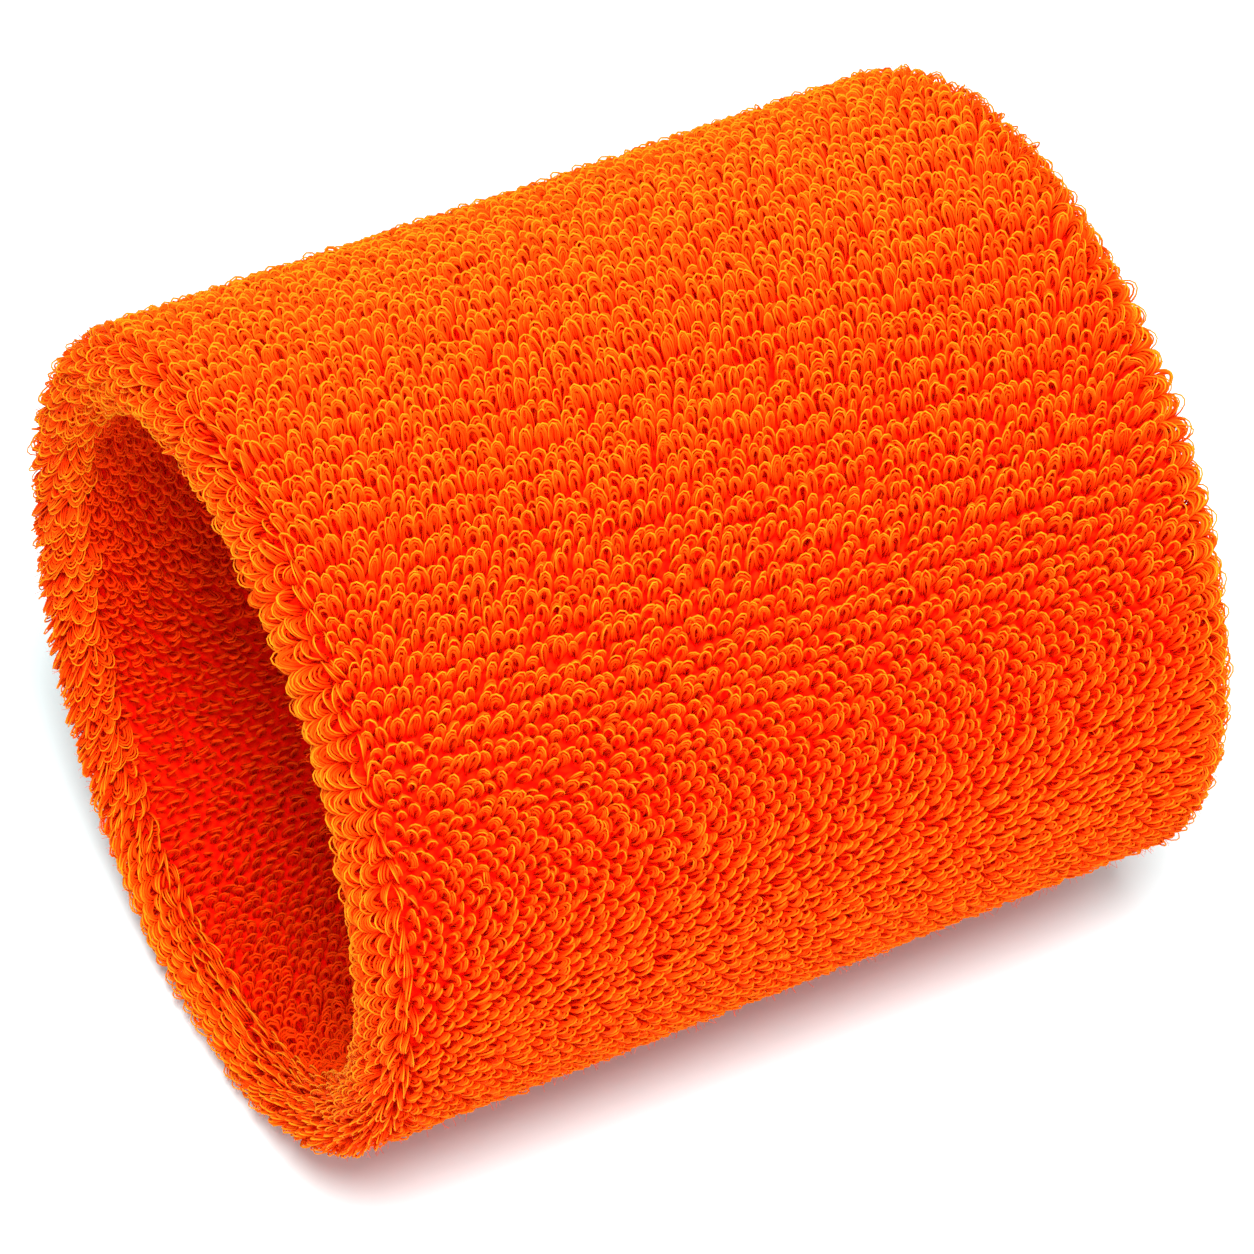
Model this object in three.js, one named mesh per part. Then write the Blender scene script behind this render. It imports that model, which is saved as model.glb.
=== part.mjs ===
// Terry sweat wristband, resting on its side. Millimetres, +Z up.
// The band's axis runs along X. The origin is under the middle of the band, on the surface it rests on.
//
// The band is one terry tube knitted about twice as long as the finished band, with its pile outside.
// Both ends fold inwards, so each rim is a fold, and the two cut edges meet in a seam halfway
// along the inner ply, with their allowances turned in between the plies.
// Every layer is a ring about the same axis, flattened a little where the band rests.
import * as THREE from 'three';
import { mergeVertices } from 'three/addons/utils/BufferGeometryUtils.js';

// Driving dimensions
const LENGTH = 67; // rim to rim
const OUTER_RADIUS = 30; // tips of the outer pile
const WALL = 6.4; // two plies, pile tips to pile tips
const REST_FLAT = 0.7; // how far the underside is flattened
const PILE = { top: 0, bottom: 1.6 }; // depths below the pile tips, the same on both faces
const GROUND = { top: 1.75, bottom: 2.2 };
const ELASTIC_DEPTH = 2.58; // centre of the elastic yarn
const ELASTIC_RADIUS = 0.17;
const ELASTIC_PITCH = 7.5; // between turns
const ELASTIC_MARGIN = 1.2; // from each end of its ply
const SPLIT_GAP = 0.25; // between neighbouring stretches of the same layer
const SEAM_GAP = 0.9; // between the two cut edges in the inner ply
const ALLOWANCE_WIDTH = 3.6; // of the strip turned in beyond each cut edge
const ALLOWANCE_GAP = 0.3; // between the two strips
const ALLOWANCE_THICKNESS = 0.44;
const THREAD_RADIUS = 0.14;
const THREAD_WAVES = 24; // stitches around the seam
const THREAD_SWING = 0.14; // sideways swing of the stitches

// Fineness of the solids
const AROUND = 60; // sides of every ring
const FOLD_STEPS = 6; // flats around a rim's fold, even so that one edge is the rim
const ELASTIC_STEPS = 28; // per turn
const ELASTIC_SIDES = 5;
const THREAD_STEPS = 6; // per stitch
const THREAD_SIDES = 4;
const MERGE_DISTANCE = 1e-4;

const AXIS_HEIGHT = OUTER_RADIUS - REST_FLAT;
const INNER_RADIUS = OUTER_RADIUS - WALL;
const MID_RADIUS = OUTER_RADIUS - WALL / 2;
const FOLD_X = LENGTH / 2 - WALL / 2; // where the straight plies end and a fold starts

const COLOURS = { pile: 0xff5a00, ground: 0xe03c00, elastic: 0xd8410a, thread: 0xf06a1a };
const MATT = 0.9; // roughness of the spun yarns
const ELASTIC_SHEEN = 0.6; // roughness of the covered elastic and the thread

function material(colour, roughness) {
  return new THREE.MeshStandardMaterial({ color: colour, roughness, metalness: 0 });
}

// The height of a point on the ring of radius r, seen along the axis: round, with a flat underside.
function flattened(r, z) {
  return Math.max(z, REST_FLAT - r);
}

// A closed profile of [x, r] points turned about the axis, then flattened under the band.
function ring(profile) {
  const loop = [...profile, profile[0]].map(([x, r]) => new THREE.Vector2(r, x));
  const turned = new THREE.LatheGeometry(loop, AROUND);
  const from = turned.getAttribute('position');
  const places = new Float32Array(from.count * 3);
  for (let i = 0; i < from.count; i += 1) {
    const y = from.getX(i);
    const z = from.getZ(i);
    places.set([from.getY(i), y, flattened(Math.hypot(y, z), z)], i * 3);
  }
  const geometry = new THREE.BufferGeometry();
  geometry.setAttribute('position', new THREE.BufferAttribute(places, 3));
  geometry.setIndex(turned.getIndex());
  return geometry;
}

// A straight stretch of one layer: from x0 to x1, between two radii.
function sleeve(x0, x1, r0, r1) {
  return ring([[x0, r0], [x1, r0], [x1, r1], [x0, r1]]);
}

// Points of the half circle around a fold, at one depth below the pile tips.
function foldArc(side, depth) {
  const radius = WALL / 2 - depth;
  return Array.from({ length: FOLD_STEPS + 1 }, (_, i) => {
    const turn = (Math.PI * i) / FOLD_STEPS;
    return [side * (FOLD_X + radius * Math.sin(turn)), MID_RADIUS + radius * Math.cos(turn)];
  });
}

// One layer where it goes around a rim, from the outer ply to the inner one.
function fold(side, layer) {
  const profile = [...foldArc(side, layer.top), ...foldArc(side, layer.bottom).reverse()];
  return ring(side > 0 ? profile.reverse() : profile);
}

// A yarn of the given radius along a path.
function yarn(path, radius, sides, steps) {
  const section = new THREE.Shape(
    Array.from({ length: sides }, (_, i) => {
      const turn = (2 * Math.PI * i) / sides;
      return new THREE.Vector2(radius * Math.cos(turn), radius * Math.sin(turn));
    }),
  );
  return new THREE.ExtrudeGeometry(section, { steps, extrudePath: path });
}

// A path that winds around the band while it moves along the axis.
class Winding extends THREE.Curve {
  constructor(turns, place) {
    super();
    this.turns = turns;
    this.place = place; // share of the path -> [x, r]
  }

  getPoint(t, target = new THREE.Vector3()) {
    const turn = 2 * Math.PI * this.turns * t;
    const [x, r] = this.place(t);
    return target.set(x, r * Math.sin(turn), flattened(r, r * Math.cos(turn)));
  }

  // Points stay evenly spaced by turn, so that each step is one chord of the ring.
  getPointAt(t, target) {
    return this.getPoint(t, target);
  }
}

// The elastic yarn of one ply, wound from x0 to x1.
function elastic(x0, x1, r) {
  const start = x0 + ELASTIC_MARGIN;
  const run = x1 - x0 - 2 * ELASTIC_MARGIN;
  const turns = Math.round(run / ELASTIC_PITCH);
  const path = new Winding(turns, (t) => [start + run * t, r]);
  return yarn(path, ELASTIC_RADIUS, ELASTIC_SIDES, turns * ELASTIC_STEPS);
}

// The seam thread, which swings from one cut edge to the other all the way round.
function seamThread() {
  const once = 1 - 1 / (THREAD_WAVES * THREAD_STEPS); // the two ends of the thread stay apart
  const r = INNER_RADIUS + GROUND.bottom;
  const path = new Winding(once, (t) => {
    return [THREAD_SWING * Math.sin(2 * Math.PI * THREAD_WAVES * once * t), r];
  });
  return yarn(path, THREAD_RADIUS, THREAD_SIDES, THREAD_WAVES * THREAD_STEPS - 1);
}

const band = new THREE.Group();
band.position.z = AXIS_HEIGHT;

function add(name, geometry, colour, roughness = MATT) {
  geometry.deleteAttribute('normal').deleteAttribute('uv');
  const merged = mergeVertices(geometry, MERGE_DISTANCE);
  const mesh = new THREE.Mesh(merged, material(colour, roughness));
  mesh.name = name;
  band.add(mesh);
}

// The two ends along X, in rising order, of a stretch that lies on one side of the middle
function stretch(side, near, far) {
  return side > 0 ? [near, far] : [-far, -near];
}

// Outer ply: pile, ground knit and elastic, from fold to fold
const outerEnd = FOLD_X - SPLIT_GAP;
const outer = (depth) => OUTER_RADIUS - depth;
const outerSleeve = (layer) => sleeve(-outerEnd, outerEnd, outer(layer.bottom), outer(layer.top));
const outerElastic = elastic(-outerEnd, outerEnd, outer(ELASTIC_DEPTH));
add('outer_ply_pile', outerSleeve(PILE), COLOURS.pile);
add('outer_ply_ground', outerSleeve(GROUND), COLOURS.ground);
add('outer_ply_elastic', outerElastic, COLOURS.elastic, ELASTIC_SHEEN);

// Each end has its rim fold and its half of the inner ply, up to the seam
const inner = (depth) => INNER_RADIUS + depth;
const stripTop = MID_RADIUS + ALLOWANCE_THICKNESS / 2;
const stripBottom = MID_RADIUS - ALLOWANCE_THICKNESS / 2;
for (const [end, side] of [['left', -1], ['right', 1]]) {
  add(`${end}_rim_pile`, fold(side, PILE), COLOURS.pile);
  add(`${end}_rim_ground`, fold(side, GROUND), COLOURS.ground);

  const [x0, x1] = stretch(side, SEAM_GAP / 2, outerEnd);
  const innerSleeve = (layer) => sleeve(x0, x1, inner(layer.top), inner(layer.bottom));
  const innerElastic = elastic(x0, x1, inner(ELASTIC_DEPTH));
  add(`${end}_inner_ply_pile`, innerSleeve(PILE), COLOURS.pile);
  add(`${end}_inner_ply_ground`, innerSleeve(GROUND), COLOURS.ground);
  add(`${end}_inner_ply_elastic`, innerElastic, COLOURS.elastic, ELASTIC_SHEEN);

  const [s0, s1] = stretch(side, ALLOWANCE_GAP / 2, SEAM_GAP / 2 + ALLOWANCE_WIDTH);
  add(`${end}_seam_allowance`, sleeve(s0, s1, stripBottom, stripTop), COLOURS.ground);
}

add('seam_thread', seamThread(), COLOURS.thread, ELASTIC_SHEEN);

export default band;
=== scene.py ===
"""Terry sweat wristband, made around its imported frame. Metres, +Z up, the band's axis along X.

The band is one terry tube folded in at both ends. Its knitted ground is a sheet that runs along the
outer ply, around a rim, back along the inner ply to the seam, and round the other rim. Every pile
loop stands on that sheet as a ribbon of a few spun strands. At the rims the loops of two wales
close up into one bundle of arches. Elastic yarn is wound inside each ply, and the seam's turned
edges lie between the plies.
"""

import math

import bpy
import numpy as np
from mathutils import Matrix, Vector


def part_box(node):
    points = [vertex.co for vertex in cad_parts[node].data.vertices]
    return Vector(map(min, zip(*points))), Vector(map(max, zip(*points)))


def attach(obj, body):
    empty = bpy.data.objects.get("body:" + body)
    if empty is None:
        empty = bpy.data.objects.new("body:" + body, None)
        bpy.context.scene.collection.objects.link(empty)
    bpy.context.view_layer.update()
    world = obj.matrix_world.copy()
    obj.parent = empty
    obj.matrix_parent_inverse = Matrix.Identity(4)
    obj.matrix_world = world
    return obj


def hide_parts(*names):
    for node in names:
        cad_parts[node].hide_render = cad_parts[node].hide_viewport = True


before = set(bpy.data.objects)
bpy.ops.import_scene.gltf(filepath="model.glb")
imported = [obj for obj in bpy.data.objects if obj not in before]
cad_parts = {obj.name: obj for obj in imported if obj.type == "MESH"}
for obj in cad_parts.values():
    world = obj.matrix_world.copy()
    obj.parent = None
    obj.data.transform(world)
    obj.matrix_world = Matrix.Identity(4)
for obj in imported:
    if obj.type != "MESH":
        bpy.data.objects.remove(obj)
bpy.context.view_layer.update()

MM = 0.001
SEED = 20
rng = np.random.default_rng(SEED)

# The band's sizes, from the frame
ring_low, ring_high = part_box("outer_ply_pile")
rim_low, rim_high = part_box("right_rim_pile")
ground_low, ground_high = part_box("outer_ply_ground")
strip_low, strip_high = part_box("right_seam_allowance")
OUTER = (ring_high[1] - ring_low[1]) / 2
REST_FLAT = 2 * OUTER - (ring_high[2] - ring_low[2])
AXIS_Z = ring_high[2] - OUTER
FOLD_X = rim_low[0]
HALF_WALL = rim_high[0] - rim_low[0]
MIDDLE = OUTER - HALF_WALL
PILE = ring_high[1] - ground_high[1]
FOLD_R = HALF_WALL - PILE
LENGTH = 2 * rim_high[0]
RUN = 2 * FOLD_X
BEND = math.pi * FOLD_R
SEAM_M = RUN + BEND + FOLD_X
TOTAL = 2 * (RUN + BEND)

# The resting band isn't quite round, and its left end leans back a little at the top
WIDER = 1.012
END_LEAN = 0.049

# The knit
WALES = 212
OUTER_COURSES = 58
INNER_COURSES = 28  # in each half of the inner ply
BUNDLES = WALES // 2
BUNDLE_ROWS = 15
SEAM_HALF = 0.45 * MM
GROUND_THICK = 0.45 * MM
STRAND_R = 0.1 * MM
STRAND_GAP = 0.16 * MM
INMOST = 1.25  # a loop's inmost strand lies this much further in than the even gap
LOOP_HALF = 0.38 * MM  # half the width of a loop along its wale
LOOP_SHORT = 0.3 * MM  # how far a loop's middle strand stays below the pile's surface
BUNDLE_SHORT = 0.4 * MM
TO_RIM = 5 * MM  # the last loops of the outer ply lean towards the opening
INNER_PAINTED_SHADE = 0.75  # painted shade: the loops inside the band are made redder and duller, for the shade inside the tube
WALE_SKEW = -0.04  # how far a wale strays round the band for each step along it
FIBRES = 4000
FIBRE_R = 0.014 * MM

# What is inside the wall and at the seam
ELASTIC_R = 0.17 * MM
ELASTIC_PITCH = 2.1 * MM
THREAD_R = 0.1 * MM
STITCH_PITCH = 1.5 * MM
STITCH_HALF = 0.3 * MM
STRIP_THICK = 0.44 * MM
STRIP_WEB = 0.28 * MM  # where it turns up through the seam


# ---- Camera and light ----

ELEVATION = math.radians(45)
TURN = math.radians(27.3)
DISTANCE = 0.407
LENS = 165
SKY = 0.52
AIM_RIGHT = 0.5 * MM
AIM_DOWN = 2.3 * MM


def make_camera():
    right = Vector((math.cos(TURN), -math.sin(TURN), 0))
    level = Vector((math.sin(TURN), math.cos(TURN), 0))
    ahead = level * math.cos(ELEVATION) - Vector((0, 0, 1)) * math.sin(ELEVATION)
    up = right.cross(ahead)
    aim = Vector((0, 0, OUTER)) + right * AIM_RIGHT - up * AIM_DOWN
    data = bpy.data.cameras.new("camera")
    data.lens = LENS
    data.sensor_width = 36
    data.clip_start = 0.01
    data.clip_end = 20
    camera = bpy.data.objects.new("camera", data)
    axes = Matrix((right, up, -ahead)).transposed().to_4x4()
    camera.matrix_world = Matrix.Translation(aim - ahead * DISTANCE) @ axes
    bpy.context.scene.collection.objects.link(camera)
    bpy.context.scene.camera = camera


def area_light(name, place, size, power):
    data = bpy.data.lights.new(name, "AREA")
    data.shape = "DISK"
    data.size = size
    data.energy = power
    lamp = bpy.data.objects.new(name, data)
    lamp.location = place
    lamp.rotation_euler = (Vector((0, 0, AXIS_Z)) - Vector(place)).to_track_quat("-Z", "Y").to_euler()
    bpy.context.scene.collection.objects.link(lamp)


def make_light():
    world = bpy.data.worlds.new("studio")
    world.use_nodes = True
    sky = world.node_tree.nodes["Background"]
    sky.inputs["Color"].default_value = (1, 1, 1, 1)
    sky.inputs["Strength"].default_value = SKY
    bpy.context.scene.world = world
    area_light("key", (-0.15, -0.45, 1.0), 0.5, 18)
    area_light("fill", (-0.3, -0.9, 0.4), 0.7, 3)


# ---- Shape of the band ----


def meridian(m):
    """x, radius and outward direction of the ground at m along its run round the wall: the outer ply
    from the left rim to the right, the right fold, the inner ply back, and the left fold."""
    m = np.mod(m, TOTAL)
    at = [m < RUN, m < RUN + BEND, m < 2 * RUN + BEND]
    right_turn = (m - RUN) / FOLD_R
    left_turn = math.pi + (m - 2 * RUN - BEND) / FOLD_R
    turn = np.select(at, [0 * m, right_turn, 0 * m + math.pi], left_turn)
    side = np.select(at, [m - FOLD_X, 0 * m + FOLD_X, FOLD_X - (m - RUN - BEND)], 0 * m - FOLD_X)
    nx, nr = np.sin(turn), np.cos(turn)
    return side + FOLD_R * nx, MIDDLE + FOLD_R * nr, nx, nr


def settled(p):
    """Points given about a straight round axis, moved to the shape of the resting band."""
    x, y, z = p[..., 0], p[..., 1], p[..., 2]
    z = np.maximum(z, REST_FLAT - np.hypot(y, z))
    phi = np.arctan2(y, z)
    left = np.clip(0.5 - x / LENGTH, 0, 1)
    wave = 0.12 * MM * np.sin(3 * phi + 40 * x) + 0.1 * MM * np.sin(5 * phi - 70 * x + 1)
    swell = 1 + wave * np.clip((z + OUTER) / OUTER, 0, 1) / OUTER
    x = x + END_LEAN * z * left**2 + 0.15 * MM * np.sin(2 * phi + 0.6)
    return np.stack([x, WIDER * y * swell, np.maximum(z * swell + AXIS_Z, 0.02 * MM)], -1)


def frames(m, phi):
    """Place and three directions at each point: along the run, around the band and outwards."""
    x, r, nx, nr = meridian(m)
    s, c, o = np.sin(phi), np.cos(phi), np.zeros_like(phi)
    place = np.stack([x, r * s, r * c], -1)
    along = np.stack([nr, -nx * s, -nx * c], -1)
    around = np.stack([o, c, -s], -1)
    out = np.stack([nx, nr * s, nr * c], -1)
    return place, along, around, out


def unit(v):
    return v / np.maximum(np.linalg.norm(v, axis=-1, keepdims=True), 1e-12)


def ease(low, high, value):
    """0 up to low, 1 from high on, and smooth between."""
    t = np.clip((value - low) / (high - low), 0, 1)
    return t * t * (3 - 2 * t)


def degrees(phi):
    """phi in degrees between -180 and 180: 0 is the top of the band, and the front is negative."""
    return np.degrees(np.arctan2(np.sin(phi), np.cos(phi)))


def drift(m, phi, seed):
    """A smooth field between about -1 and 1 over the cloth, for how neighbouring loops lie alike."""
    field = np.random.default_rng(seed)
    total = np.zeros_like(m)
    for size in (30, 14, 7, 3.5):
        for _ in range(3):
            fm = field.normal(0, 1 / (size * MM))
            fp = np.round(field.normal(0, 2 * np.pi * OUTER / (size * MM) / 2.5))
            total = total + np.sin(fm * m + fp * phi + field.uniform(0, 6.28)) * (size / 30) ** 0.35
    return total / 4


def mesh_object(name, points, faces, sides, **attributes):
    mesh = bpy.data.meshes.new(name)
    mesh.vertices.add(len(points))
    mesh.vertices.foreach_set("co", np.ascontiguousarray(points, np.float32).ravel())
    corners = np.concatenate([f.ravel() for f in faces]).astype(np.int32)
    sizes = np.concatenate([np.full(len(f), n) for f, n in zip(faces, sides)])
    starts = np.concatenate([[0], np.cumsum(sizes)[:-1]]).astype(np.int32)
    mesh.loops.add(len(corners))
    mesh.loops.foreach_set("vertex_index", corners)
    mesh.polygons.add(len(sizes))
    mesh.polygons.foreach_set("loop_start", starts)
    mesh.update(calc_edges=True)
    mesh.polygons.foreach_set("use_smooth", np.full(len(sizes), True))
    for key, values in attributes.items():
        layer = mesh.attributes.new(key, "FLOAT", "POINT")
        layer.data.foreach_set("value", np.ascontiguousarray(values, np.float32).ravel())
    made = bpy.data.objects.new(name, mesh)
    bpy.context.scene.collection.objects.link(made)
    return made


def tubes(lines, sideways, radius, sides=3, twist=0.0, groove=0.0):
    """Closed tubes along lines (n, k, 3). sideways (n, 3) is roughly the normal of each line's plane.
    With a groove every other corner lies deeper, and twist turns the corners at each step."""
    n, k, _ = lines.shape
    along = unit(np.gradient(lines, axis=1))
    first = unit(np.cross(along, sideways[:, None]))
    second = np.cross(along, first)
    turn = (2 * np.pi * np.arange(sides) / sides + twist * np.arange(k)[:, None])[..., None]
    radius = np.broadcast_to(radius, (n, k))[:, :, None, None]
    radius = radius * (1 - groove * (np.arange(sides) % 2))[:, None]
    spokes = np.cos(turn) * first[:, :, None] + np.sin(turn) * second[:, :, None]
    points = lines[:, :, None] + radius * spokes
    ring = np.arange(k - 1)[:, None] * sides
    this, after = np.arange(sides), (np.arange(sides) + 1) % sides
    walls = np.stack([ring + this, ring + after, ring + sides + after, ring + sides + this], -1)
    start = np.arange(n)[:, None, None] * k * sides
    ends = np.stack([this[::-1], this + (k - 1) * sides])
    walls = (walls.reshape(-1, 4)[None] + start).reshape(-1, 4)
    ends = (ends[None] + start).reshape(-1, sides)
    return points.reshape(-1, 3), [walls, ends], [4, sides]


def place_piece(piece, look, slot, *replaced):
    piece.data.materials.append(look)
    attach(piece, "root")
    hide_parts(*replaced)
    return piece


# ---- Pile ----


def nap(phi, inside):
    """How the pile lies at phi: its lean along the run and around the band and the turn of its loops,
    all in degrees, and its height. It is brushed one way round the band, its loops turn over on the
    lower front, and it is pressed flat towards the underside."""
    angle = degrees(phi)
    if inside:
        brushed = ease(-150, -110, angle) - ease(95, 125, angle)
        return 0 * angle, 20 * brushed, 0 * angle, 1 + 0 * angle
    pressed = 1 - ease(-135, -108, angle) + ease(140, 170, angle)
    over = 1 - ease(-95, -45, angle)
    around = (38 - 4 * ease(-15, 20, angle) + 2 * over) * (1 - 0.6 * pressed)
    return 20 * over + 18 * pressed, around, -125 * over, 1 - 0.2 * over


def loop_lines(m, phi, tall, half, neck, twist, lean_on, lean_side, strands, steps, spread=1.0):
    """Centre lines of the strands of the loops that stand at m, phi, the inmost strands first. neck is
    0 for an arch and 1 for a loop that narrows at its foot. Angles are in degrees. It also returns
    each line's sideways direction, the height of its points and how far out its strand is, 0 to 1."""
    n = len(m)
    place, along, around, out = frames(m, phi)
    cos, sin = np.cos(np.radians(twist))[:, None], np.sin(np.radians(twist))[:, None]
    span, face = along * cos + around * sin, around * cos - along * sin
    s = np.linspace(-1, 1, steps + 1)
    flat = (1 - neck) * np.sin(np.pi * s / 2) + neck * (0.8 * np.sin(np.pi * s) + 0.3 * s)
    high = np.cos(np.pi * s / 2) ** 0.85
    edge_u, edge_v = np.sin(np.pi * s / 2), np.cos(np.pi * s / 2) * np.minimum(1, 3 * high)
    skew = rng.normal(0, 0.16, (n, 1)) * high * (1 - np.abs(s))
    bow = rng.normal(0, 0.1, (n, 1)) * MM * high
    slope_on, slope_side = np.tan(np.radians(lean_on)), np.tan(np.radians(lean_side))
    spin = rng.normal(0, 0.6, (n, 1)) + 0.8 * s * rng.choice([-1, 1], (n, 1))
    lines = []
    for k in range(strands):
        size = 1 + rng.normal(0, 0.05, (n, 1))
        off = spread * STRAND_GAP * (k - (strands - 1) / 2) * (1 + rng.normal(0, 0.15, (n, 1)))
        off = off * (INMOST if k == 0 else 1)
        turned = spin + rng.normal(0, 0.25, (n, 1))
        u = half[:, None] * size * (flat + skew) + off * np.cos(turned) * edge_u
        v = tall[:, None] * size * high + off * np.cos(turned) * edge_v
        w = off * np.sin(turned) + bow
        bend = v * (0.45 + 0.55 * high)
        line = place[:, None] + u[..., None] * span[:, None] + v[..., None] * out[:, None]
        line = line + w[..., None] * face[:, None]
        line = line + (bend * slope_on[:, None])[..., None] * along[:, None]
        line = line + (bend * slope_side[:, None])[..., None] * around[:, None]
        lines.append(line)
    edge = np.repeat((1 + np.arange(strands)) / strands, n)
    return np.concatenate(lines), np.tile(face, (strands, 1)), high, edge


def yarn_mesh(name, lines, face, level, edge, radius, painted_shade_factor=1.0):
    """Strands as tubes. Their points know how high they stand, how near their strand is to the outside
    of its loop, its tone and its ply. A loop's outermost strand is its thinnest. A factor below 1
    scales the height, place and tone that the colour is made from, which paints shade on the
    strands: they come out redder and duller."""
    n, k, _ = lines.shape
    thick = radius * (1.45 - 0.7 * edge)[:, None] * (1 + rng.normal(0, 0.08, (n, 1)))
    points, faces, sides = tubes(lines, face, thick)
    turn = 1.7 * np.arange(k)[None, :, None] + rng.uniform(0, 6.28, (n, 1, 1))
    painted_shade_factor = np.repeat(np.broadcast_to(painted_shade_factor, n), k * 3)
    values = {
        "rise": np.repeat(np.broadcast_to(level, (n, k)).ravel(), 3) * painted_shade_factor,
        "edge": np.repeat(edge, k * 3) * painted_shade_factor,
        "tone": np.repeat(rng.uniform(0, 1, n), k * 3) * painted_shade_factor,
        "ply": 0.5 + 0.5 * np.cos(turn + 2 * np.pi * np.arange(3) / 3),
    }
    return mesh_object(name, settled(points), faces, sides, **values)


def row_strength(angle):
    """How far the wales stand in pairs: most from the top down the upper front."""
    return 0.25 + 0.37 * (ease(-80, -50, angle) - ease(15, 60, angle))


def pile_piece(name, node, m, phi, wale, inside, strands, steps):
    """The loops of some wales of one ply, each of strands with steps along them."""
    on, side, turned, height = nap(phi, inside)
    angle = degrees(phi)
    paired = np.where(wale % 2 == 0, 1, -1) * row_strength(angle)
    n = len(m)
    tall = (PILE - LOOP_SHORT) * height * (1 + 0.04 * paired + 0.012 * WALE_LIFT[wale])
    tall = tall * (1 + rng.normal(0, 0.04, n) + 0.015 * drift(m, phi, 5))
    half = LOOP_HALF * (1 + rng.normal(0, 0.12, n))
    twist = turned + rng.normal(0, 14, n) + 6 * drift(m, phi, 1)
    to_rim = 0 if inside else ease(RUN - TO_RIM, RUN, m) - 1 + ease(0, TO_RIM, m)
    lean_on = on + 18 * to_rim + rng.normal(0, 6, n) + 4 * drift(m, phi, 2)
    lean_side = side + 4 * paired + WALE_LIFT[wale] + rng.normal(0, 4, n) + 1.5 * drift(m, phi, 3)
    lines, face, level, edge = loop_lines(
        m, phi, tall, half, 1.0, twist, lean_on, lean_side, strands, steps
    )
    # Painted shade: the loops inside the band are redder and duller, and on the outer ply the loops of
    # the lower front are a little darker, for the shade that falls there.
    painted_shade_factor = INNER_PAINTED_SHADE if inside else np.tile(1 - 0.08 * ease(-45, -95, angle), strands)
    piece = yarn_mesh(name, lines, face, level, edge, STRAND_R, painted_shade_factor)
    return place_piece(piece, PILE_LOOK, "pile", node)


def stitches(first, last, wales, courses):
    """Places of one loop per stitch: courses between first and last along the run, in these wales.
    Wales stand in pairs, and the stitches of neighbouring wales are half a course apart."""
    pitch = (last - first) / courses
    j, i = np.meshgrid(np.arange(courses), wales)
    i, j = i.ravel(), j.ravel()
    m = first + (j + 0.25 + 0.5 * (i % 2)) * pitch
    closer = 0.09 * row_strength(degrees(2 * np.pi * i / WALES))
    phi = 2 * np.pi * (i + np.where(i % 2 == 0, closer, -closer)) / WALES
    m = m + rng.normal(0, 0.08, len(m)) * pitch
    phi = phi + rng.normal(0, 0.05, len(m)) * 2 * np.pi / WALES
    phi = phi + WALE_SKEW * meridian(m)[0] / OUTER
    return m, phi, i


def rim_piece(name, node, start, bundles):
    """Bundles of arches over a fold, in rows that follow one another round it. On the front each arch
    spans two wales along the rim and leans towards the opening, near the top they stand looser, and
    on the back they are narrower and hang round the rim."""
    j, i = np.meshgrid(np.arange(BUNDLE_ROWS), bundles)
    i, j = i.ravel(), j.ravel()
    n = len(i)
    m = start + (j + 0.5 + rng.normal(0, 0.15, n)) * BEND / BUNDLE_ROWS
    angle = (360 * (i + 0.25) / BUNDLES + 180) % 360 - 180
    hangs = ease(0, 60, angle) - ease(120, 170, angle)
    strays = rng.normal(0, 0.03 + 0.05 * hangs, n)
    phi = 2 * np.pi * (i + 0.25 + 0.5 * hangs * (j % 2) + strays) / BUNDLES
    phi = phi + WALE_SKEW * meridian(m)[0] / OUTER
    loose = ease(-80, -30, angle) - ease(60, 100, angle)
    tall = (PILE - BUNDLE_SHORT) * (1 + rng.normal(0, 0.03 + 0.06 * loose, n))
    half = (0.85 - 0.25 * hangs - 0.12 * loose) * MM * (1 + rng.normal(0, 0.05, n))
    twist = 90 - 60 * hangs + rng.normal(0, 5 + 10 * hangs + 18 * loose, n)
    right = start == RUN
    share = (m - start) / BEND if right else 1 - (m - start) / BEND  # from the outer ply to the inner
    laid = ease(-0.25, 0.3, share) - ease(0.35, 0.75, share)
    to_opening = 1 if right else -1
    lean_on = to_opening * 30 * laid * (1 - hangs) + rng.normal(0, 6 + 4 * hangs, n)
    lean_side = 8 + 30 * hangs + rng.normal(0, 4, n)
    lines, face, level, edge = loop_lines(
        m, phi, tall, half, 0.1, twist, lean_on, lean_side, strands=4, steps=9, spread=1.15
    )
    piece = yarn_mesh(name, lines, face, level, edge, 0.85 * STRAND_R)
    return place_piece(piece, PILE_LOOK, "pile", node)


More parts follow.
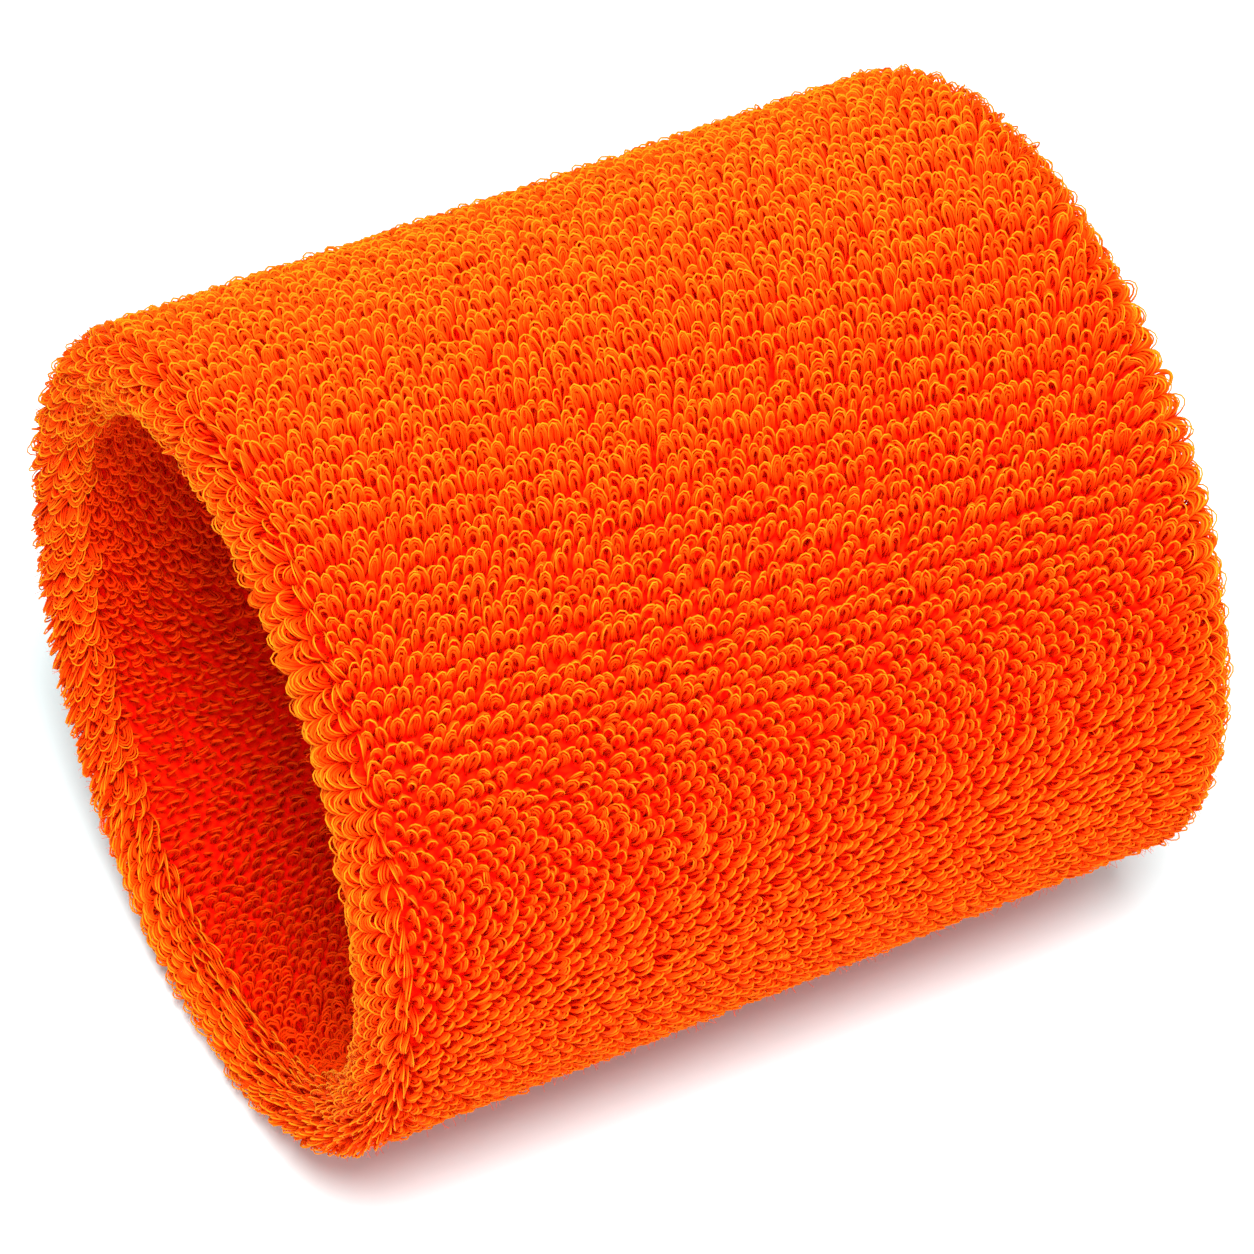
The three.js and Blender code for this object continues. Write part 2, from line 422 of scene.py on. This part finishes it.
def fuzz_piece(name, count):
    """Fine loose fibre ends on both rims and, more thinly, on the outer ply."""
    on_rim = rng.uniform(0, 1, count) < 0.5
    rim = np.where(rng.uniform(0, 1, count) < 0.5, RUN, 2 * RUN + BEND)
    m = np.where(on_rim, rim + rng.uniform(-0.1, 1.1, count) * BEND, rng.uniform(0, RUN, count))
    phi = rng.uniform(-np.pi, np.pi, count)
    place, along, around, out = frames(m, phi)
    t = np.linspace(0, 1, 6)
    way = rng.uniform(0, 2 * np.pi, (count, 1))
    side = np.cos(way)[..., None] * along[:, None] + np.sin(way)[..., None] * around[:, None]
    reach = rng.uniform(0.15, 0.6, (count, 1)) * MM
    v = 0.55 * PILE + t * (0.42 * PILE + rng.uniform(0, 0.25, (count, 1)) * MM)
    curl = np.sin(t * rng.uniform(2, 5, (count, 1)) + rng.uniform(0, 6.28, (count, 1))) * 0.12 * MM
    lines = place[:, None] + v[..., None] * out[:, None] + (reach * t**1.5 + curl)[..., None] * side
    across = unit(np.cross(out, side[:, 0]))
    piece = yarn_mesh(name, lines, across, 0.6 + 0.4 * t, np.full(count, 0.6), FIBRE_R)
    return place_piece(piece, PILE_LOOK, "pile", "left_rim_pile", "right_rim_pile", "outer_ply_pile")


# ---- Looks ----


class Look:
    """A material and short names for building its nodes."""

    def __init__(self, name):
        self.material = bpy.data.materials.new(name)
        self.material.use_nodes = True
        self.tree = self.material.node_tree
        self.shader = self.tree.nodes["Principled BSDF"]

    def node(self, kind, **values):
        made = self.tree.nodes.new("ShaderNode" + kind)
        for key, value in values.items():
            setattr(made, key, value)
        return made

    def feed(self, socket, value):
        if isinstance(value, bpy.types.NodeSocket):
            self.tree.links.new(value, socket)
        else:
            socket.default_value = value

    def attribute(self, name):
        return self.node("Attribute", attribute_name=name).outputs["Fac"]

    def maths(self, operation, a, b=0.0):
        made = self.node("Math", operation=operation)
        self.feed(made.inputs[0], a)
        self.feed(made.inputs[1], b)
        return made.outputs[0]

    def noise(self, scale, detail=2.0):
        made = self.node("TexNoise")
        made.inputs["Scale"].default_value = scale
        made.inputs["Detail"].default_value = detail
        self.feed(made.inputs["Vector"], self.node("TexCoord").outputs["Object"])
        return made.outputs["Fac"]

    def span(self, value, low, high, start=0.0, end=1.0):
        made = self.node("MapRange")
        for key, number in (("From Min", start), ("From Max", end), ("To Min", low), ("To Max", high)):
            made.inputs[key].default_value = number
        self.feed(made.inputs["Value"], value)
        return made.outputs["Result"]

    def ramp(self, value, *stops):
        made = self.node("ValToRGB")
        bar = made.color_ramp
        while len(bar.elements) < len(stops):
            bar.elements.new(1.0)
        for element, (place, colour) in zip(bar.elements, stops):
            element.position = place
            element.color = (*colour, 1)
        self.feed(made.inputs["Fac"], value)
        return made.outputs["Color"]

    def blend(self, share, one, other):
        made = self.node("MixRGB")
        self.feed(made.inputs["Fac"], share)
        self.feed(made.inputs["Color1"], one)
        self.feed(made.inputs["Color2"], other)
        return made.outputs["Color"]

    def brighten(self, colour, value):
        made = self.node("HueSaturation")
        self.feed(made.inputs["Color"], colour)
        self.feed(made.inputs["Value"], value)
        return made.outputs["Color"]

    def bump(self, height, strength, distance):
        made = self.node("Bump")
        made.inputs["Strength"].default_value = strength
        made.inputs["Distance"].default_value = distance
        self.feed(made.inputs["Height"], height)
        self.feed(self.shader.inputs["Normal"], made.outputs["Normal"])


def pile_look():
    """Spun cotton yarn. Its colour holds painted shade, deep red at the foot of a loop and orange at
    its tip, and a painted highlight, lightest along the top of a loop's outer strand.
    """
    look = Look("terry_pile")
    rise, edge = look.attribute("rise"), look.attribute("edge")
    # Painted shade: the colour runs from deep red at a loop's foot, where the pile is shaded, to orange
    # at its tip.
    stops = (0.0, (0.93, 0.004, 0.0)), (0.5, (0.98, 0.03, 0.0002)), (1.0, (1.0, 0.064, 0.0005))
    # Painted highlight: a light orange laid along the top of the outermost strand, strongest on its
    # outer ply.
    painted_crest_highlight = look.maths("POWER", look.maths("MULTIPLY", rise, edge), 4.0)
    painted_crest_highlight = look.maths("MULTIPLY", painted_crest_highlight, look.span(look.attribute("ply"), 0.6, 1.0))
    colour = look.blend(painted_crest_highlight, look.ramp(rise, *stops), (1.0, 0.34, 0.008, 1))
    uneven = look.maths("ADD", look.attribute("tone"), look.noise(2500, 3))
    colour = look.brighten(colour, look.span(uneven, 0.82, 1.15, 0.2, 1.8))
    look.feed(look.shader.inputs["Base Color"], colour)
    look.feed(look.shader.inputs["Roughness"], look.span(look.noise(9000), 0.6, 0.85))
    look.bump(look.noise(22000, 3), 0.35, 0.02 * MM)
    look.shader.inputs["Specular IOR Level"].default_value = 0.04
    look.shader.inputs["Sheen Weight"].default_value = 0.08
    look.shader.inputs["Sheen Roughness"].default_value = 0.45
    look.shader.inputs["Sheen Tint"].default_value = (1.0, 0.3, 0.01, 1)
    return look.material


def ground_look():
    """Knitted ground: rows of small V stitches, darker where the stitches dip. Its deep red, redder
    than the pile above it, is painted shade for the ground lying under the pile.
    """
    look = Look("ground_knit")
    split = look.node("SeparateXYZ")
    look.feed(split.inputs["Vector"], look.node("TexCoord").outputs["Object"])
    height = look.maths("SUBTRACT", split.outputs["Z"], AXIS_Z)
    phi = look.maths("ARCTAN2", split.outputs["Y"], height)
    wale = look.maths("ABSOLUTE", look.maths("SINE", look.maths("MULTIPLY", phi, WALES / 2)))
    course = look.maths("MULTIPLY", split.outputs["X"], 2 * math.pi * OUTER_COURSES / RUN)
    stitch = look.maths("SINE", look.maths("ADD", course, look.maths("MULTIPLY", wale, 2.4)))
    stitch = look.maths("MULTIPLY", look.span(stitch, 0.0, 1.0, -1.0, 1.0), look.span(wale, 0.3, 1.0))
    uneven = look.maths("MULTIPLY", stitch, look.span(look.noise(3000, 3), 0.6, 1.2))
    # Painted shade: the ground under the pile is given the deep red of the shaded pile foot.
    colour = look.ramp(uneven, (0.0, (0.9, 0.003, 0.0)), (0.9, (0.97, 0.02, 0.0)))
    look.feed(look.shader.inputs["Base Color"], colour)
    look.feed(look.shader.inputs["Roughness"], look.span(look.noise(5000), 0.75, 0.95))
    look.bump(uneven, 0.6, 0.12 * MM)
    look.shader.inputs["Specular IOR Level"].default_value = 0.05
    return look.material


def floor():
    half_size = 3.0
    corners = np.array([[-1, -1, 0], [1, -1, 0], [1, 1, 0], [-1, 1, 0]]) * half_size
    paper = mesh_object("floor", corners, [np.array([[0, 1, 2, 3]])], [4])
    look = Look("floor_paper")
    # Painted light correction: the floor is tinted a little cyan, which takes out the red light the
    # band throws into its shadow.
    look.shader.inputs["Base Color"].default_value = (0.8, 0.925, 0.93, 1)
    look.shader.inputs["Roughness"].default_value = 0.9
    paper.data.materials.append(look.material)


# ---- Ground, elastic and seam ----


def ground_sheet():
    """The knitted ground: a closed thin sheet from one cut edge round both rims to the other."""
    around, along = 312, 140
    m = SEAM_M + SEAM_HALF + np.linspace(0, TOTAL - 2 * SEAM_HALF, along + 1)
    phi = 2 * np.pi * np.arange(around) / around
    mm, pp = np.meshgrid(m, phi, indexing="ij")
    place, _, _, out = frames(mm, pp)
    layers = np.stack([place, place - GROUND_THICK * out])
    index = np.arange(2 * (along + 1) * around).reshape(2, along + 1, around)
    nxt = np.roll(index, -1, axis=2)

    def quads(a, b, c, d):
        return np.stack([a, b, c, d], -1).reshape(-1, 4)

    faces = [
        quads(index[0, :-1], nxt[0, :-1], nxt[0, 1:], index[0, 1:]),
        quads(index[1, :-1], index[1, 1:], nxt[1, 1:], nxt[1, :-1]),
        quads(index[0, 0], index[1, 0], nxt[1, 0], nxt[0, 0]),
        quads(index[0, -1], nxt[0, -1], nxt[1, -1], index[1, -1]),
    ]
    piece = mesh_object("ground_knit", settled(layers.reshape(-1, 3)), [np.concatenate(faces)], [4])
    nodes = [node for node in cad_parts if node.endswith("_ground")]
    return place_piece(piece, GROUND_LOOK, "ground", *nodes)


def yarn_line(name, x, phi, r, radius, twist, look, slot, node):
    """One three-ply yarn along the line at x, phi, r, as a grooved and twisted tube."""
    plies = 3
    line = np.stack([x, r * np.sin(phi), r * np.cos(phi)], -1)[None]
    sideways = np.array([[1.0, 0.0, 0.0]])
    points, faces, sides = tubes(line, sideways, radius, 2 * plies, twist, groove=0.3)
    groove = np.tile([1.0, 0.0], len(x) * plies)
    piece = mesh_object(name, settled(points), faces, sides, groove=groove)
    return place_piece(piece, look, slot, node)


def elastic_piece(node):
    """Covered elastic yarn, wound through one ply in every second course."""
    low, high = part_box(node)
    x0, x1 = low[0] + ELASTIC_R, high[0] - ELASTIC_R
    turns = round((x1 - x0) / ELASTIC_PITCH)
    t = np.linspace(0, 1, turns * 300 + 1)
    r = (high[1] - low[1]) / 2 - ELASTIC_R + 0 * t
    phi = 2 * np.pi * turns * t
    x = x0 + (x1 - x0) * t + 0.06 * MM * np.sin(phi * WALES / 8)
    name, radius, twist = f"{node}_yarn", 0.8 * ELASTIC_R, 0.5
    return yarn_line(name, x, phi, r, radius, twist, ELASTIC_LOOK, "elastic", node)


def strip_piece(node, side):
    """The knit beyond one cut edge: it turns up through the seam and lies between the plies."""
    low, high = np.array(strip_low), np.array(strip_high)
    top = (high[1] - low[1]) / 2
    bottom = top - STRIP_THICK
    near, far = low[0], high[0]
    web = near + STRIP_WEB
    foot = MIDDLE - FOLD_R + 0.05 * MM
    run = np.linspace(near + 0.15 * MM, far, 22)
    back = np.linspace(far, web + 0.16 * MM, 20)
    x = np.concatenate([[near, near, near], run, back, [web, web, web]])
    r = np.concatenate([[foot, 0.5 * (foot + top), top - 0.2 * MM], 0 * run + top, 0 * back + bottom,
                        [bottom - 0.18 * MM, 0.5 * (foot + bottom), foot]])
    lies = ease(web, web + 1 * MM, x)
    count = 2 * WALES
    phi = 2 * np.pi * np.arange(count) / count
    ragged = 0.35 * MM * np.abs(drift(0 * phi, phi, 7)) + 0.12 * MM * (np.arange(count) % 2)
    pulled = ease(far - 1.2 * MM, far, x)[:, None] * ragged
    rib = 0.05 * MM * np.sin(2 * np.pi * x / (RUN / OUTER_COURSES)) * lies
    rr = (r + rib)[:, None] + (0.04 * MM * lies)[:, None] * np.sin(WALES * phi)
    xx = side * (x[:, None] - pulled)
    points = np.stack([xx, rr * np.sin(phi), rr * np.cos(phi)], -1)
    index = np.arange(len(x) * len(phi)).reshape(len(x), len(phi))
    down, over = np.roll(index, -1, axis=0), np.roll(index, -1, axis=1)
    both = np.roll(down, -1, axis=1)
    quads = np.stack([index, down, both, over], -1).reshape(-1, 4)
    piece = mesh_object(f"{node}_knit", settled(points.reshape(-1, 3)), [quads[:, ::side]], [4])
    return place_piece(piece, GROUND_LOOK, "ground", node)


def thread_piece(node):
    """The seam's thread, which crosses the slit from edge to edge with every stitch."""
    count = round(2 * np.pi * (MIDDLE - FOLD_R) / STITCH_PITCH)
    t = np.linspace(0, 1, count * 16 + 1)[:-1]
    phase = 2 * np.pi * count * t
    x = STITCH_HALF * np.sin(phase)
    r = MIDDLE - FOLD_R - 0.1 * MM - 0.1 * MM * np.cos(2 * phase)
    name, twist = "seam_stitches", 0.45
    return yarn_line(name, x, 2 * np.pi * t, r, THREAD_R, twist, THREAD_LOOK, "thread", node)


def twisted_look(name, deep, light, roughness, gloss):
    """A smooth plied yarn, with painted shade: its colour is deeper in the grooves between its plies.
    """
    look = Look(name)
    uneven = look.maths("ADD", look.attribute("groove"), look.noise(4000, 2))
    # Painted shade: the groove attribute, 0 in the grooves between plies, darkens the colour there.
    colour = look.ramp(look.span(uneven, 0.0, 1.0, 0.3, 1.6), (0.0, deep), (1.0, light))
    look.feed(look.shader.inputs["Base Color"], colour)
    uneven = look.span(look.noise(6000), roughness - 0.08, roughness + 0.08)
    look.feed(look.shader.inputs["Roughness"], uneven)
    look.bump(look.noise(16000, 2), 0.3, 0.01 * MM)
    look.shader.inputs["Specular IOR Level"].default_value = gloss
    return look.material


make_camera()
make_light()
floor()
PILE_LOOK = pile_look()
WALE_LIFT = rng.normal(0, 1, WALES)
GROUND_LOOK = ground_look()
ELASTIC_LOOK = twisted_look("covered_elastic", (0.45, 0.012, 0.001), (0.72, 0.06, 0.006), 0.5, 0.3)
THREAD_LOOK = twisted_look("seam_thread", (0.7, 0.03, 0.002), (0.95, 0.12, 0.01), 0.45, 0.35)

cloth = ground_sheet()


def pile_sectors(name, node, first, last, courses, sectors, inside, strands, steps):
    """The loops of one ply between first and last along the run, cut into sectors of wales."""
    for k in range(sectors):
        wales = np.arange(k * WALES // sectors, (k + 1) * WALES // sectors)
        m, phi, wale = stitches(first, last, wales, courses)
        pile_piece(f"{name}_{k + 1}", node, m, phi, wale, inside, strands, steps)


pile_sectors("outer_loops", "outer_ply_pile", 0, RUN, OUTER_COURSES, 10, False, strands=3, steps=8)
inner_start = RUN + BEND
inner_end = inner_start + RUN
right_end = ("right", inner_start, SEAM_M - SEAM_HALF, RUN)
left_end = ("left", SEAM_M + SEAM_HALF, inner_end, inner_end)
for end, first, last, fold in (right_end, left_end):
    name, node = f"{end}_inner_loops", f"{end}_inner_ply_pile"
    pile_sectors(name, node, first, last, INNER_COURSES, 3, True, strands=2, steps=6)
    for k in range(2):
        bundles = np.arange(k * BUNDLES // 2, (k + 1) * BUNDLES // 2)
        rim_piece(f"{end}_rim_loops_{k + 1}", f"{end}_rim_pile", fold, bundles)
fuzz_piece("loose_fibres", FIBRES)

for node in [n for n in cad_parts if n.endswith("elastic")]:
    elastic_piece(node)
strip_piece("right_seam_allowance", 1)
strip_piece("left_seam_allowance", -1)
thread_piece("seam_thread")

scene = bpy.context.scene
scene.view_settings.view_transform = "Standard"
scene.cycles.diffuse_bounces = 10
